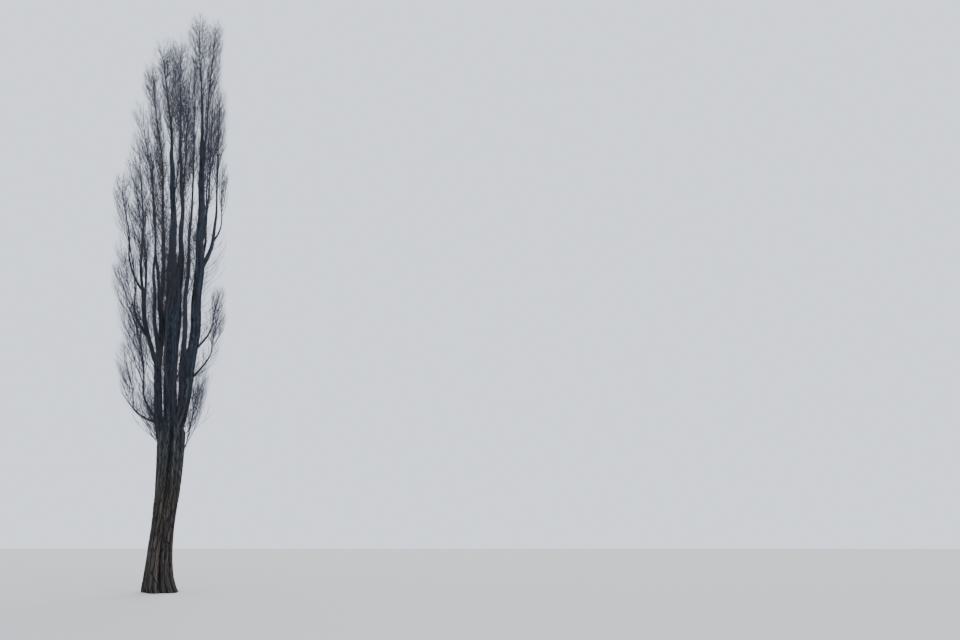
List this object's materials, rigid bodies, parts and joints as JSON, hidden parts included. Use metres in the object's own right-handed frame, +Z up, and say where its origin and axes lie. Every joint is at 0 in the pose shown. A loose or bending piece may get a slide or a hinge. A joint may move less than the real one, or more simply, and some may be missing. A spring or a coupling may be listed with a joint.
{
  "type": "lombardy poplar tree",
  "caption": "Tall, narrow, leafless poplar in winter: a fluted trunk that flares at the ground and forks low into upright leaders, with close upswept boughs and twigs.",
  "frame": {"origin": "on the ground, at the flat cut under the trunk, on the trunk's axis there", "axes": "+Z up along the tree; +X to the right of the picture; -Y toward the picture's viewer"},
  "size_m": [5.6471, 4.5907, 30.8],
  "materials": {
    "bark": "rough, deeply furrowed grey-brown bark",
    "twigs": "dull grey-brown bark of young twigs"
  },
  "bodies": {
    "root": {"trunk": "bark", "right_leader": "bark", "centre_stem": "bark", "left_stem": "bark", "inner_stem": "bark", "fork_stem": "bark", "left_bough": "bark", "left_upper_bough": "bark", "right_upper_bough": "bark", "right_bough": "bark", "right_inner_bough": "bark", "right_outer_bough": "bark", "right_low_bough": "bark", "right_lowest_bough": "bark", "left_low_bough": "bark", "left_outer_bough": "bark", "left_foot_bough": "bark", "left_side_bough": "bark", "front_stem": "bark", "back_stem": "bark", "front_right_bough": "bark", "back_right_bough": "bark", "front_left_bough": "bark", "back_left_bough": "bark", "front_low_bough": "bark", "back_low_bough": "bark", "front_low_right_bough": "bark", "back_low_right_bough": "bark", "front_low_left_bough": "bark", "back_low_left_bough": "bark", "right_leader_twigs": "twigs", "centre_stem_twigs": "twigs", "left_stem_twigs": "twigs", "inner_stem_twigs": "twigs", "fork_stem_twigs": "twigs", "left_bough_twigs": "twigs", "left_upper_bough_twigs": "twigs", "right_upper_bough_twigs": "twigs", "right_bough_twigs": "twigs", "right_inner_bough_twigs": "twigs", "right_outer_bough_twigs": "twigs", "right_low_bough_twigs": "twigs", "right_lowest_bough_twigs": "twigs", "left_low_bough_twigs": "twigs", "left_outer_bough_twigs": "twigs", "left_foot_bough_twigs": "twigs", "left_side_bough_twigs": "twigs", "front_stem_twigs": "twigs", "back_stem_twigs": "twigs", "front_right_bough_twigs": "twigs", "back_right_bough_twigs": "twigs", "front_left_bough_twigs": "twigs", "back_left_bough_twigs": "twigs", "front_low_bough_twigs": "twigs", "back_low_bough_twigs": "twigs", "front_low_right_bough_twigs": "twigs", "back_low_right_bough_twigs": "twigs", "front_low_left_bough_twigs": "twigs", "back_low_left_bough_twigs": "twigs", "trunk_shoots": "twigs"}
  },
  "joints": []
}
